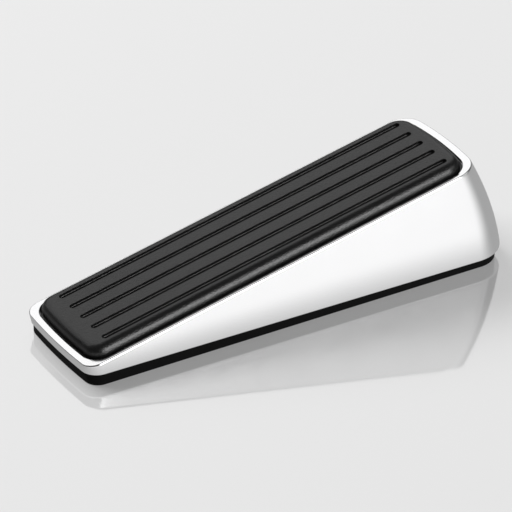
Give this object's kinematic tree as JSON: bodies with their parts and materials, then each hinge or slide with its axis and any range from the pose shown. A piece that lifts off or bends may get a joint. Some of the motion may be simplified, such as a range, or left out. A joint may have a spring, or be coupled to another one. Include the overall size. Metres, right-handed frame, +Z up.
{
  "type": "door wedge",
  "caption": "Tapered door wedge with a chrome-plated cast body, a grooved rubber grip pad bedded in its sloping face and a flat rubber sole.",
  "frame": {"origin": "on the floor, under the middle of the wedge's length and width", "axes": "+X from the thin toe to the thick heel, +Z up from the floor, +Y across to the left of that direction"},
  "size_m": [0.1249, 0.0378, 0.0315],
  "materials": {
    "chrome": "polished chrome plate on a zinc casting",
    "pad_rubber": "satin moulded rubber",
    "sole_rubber": "matt moulded rubber"
  },
  "bodies": {
    "root": {"wedge_body": "chrome", "top_pad": "pad_rubber", "base_pad": "sole_rubber"}
  },
  "joints": []
}
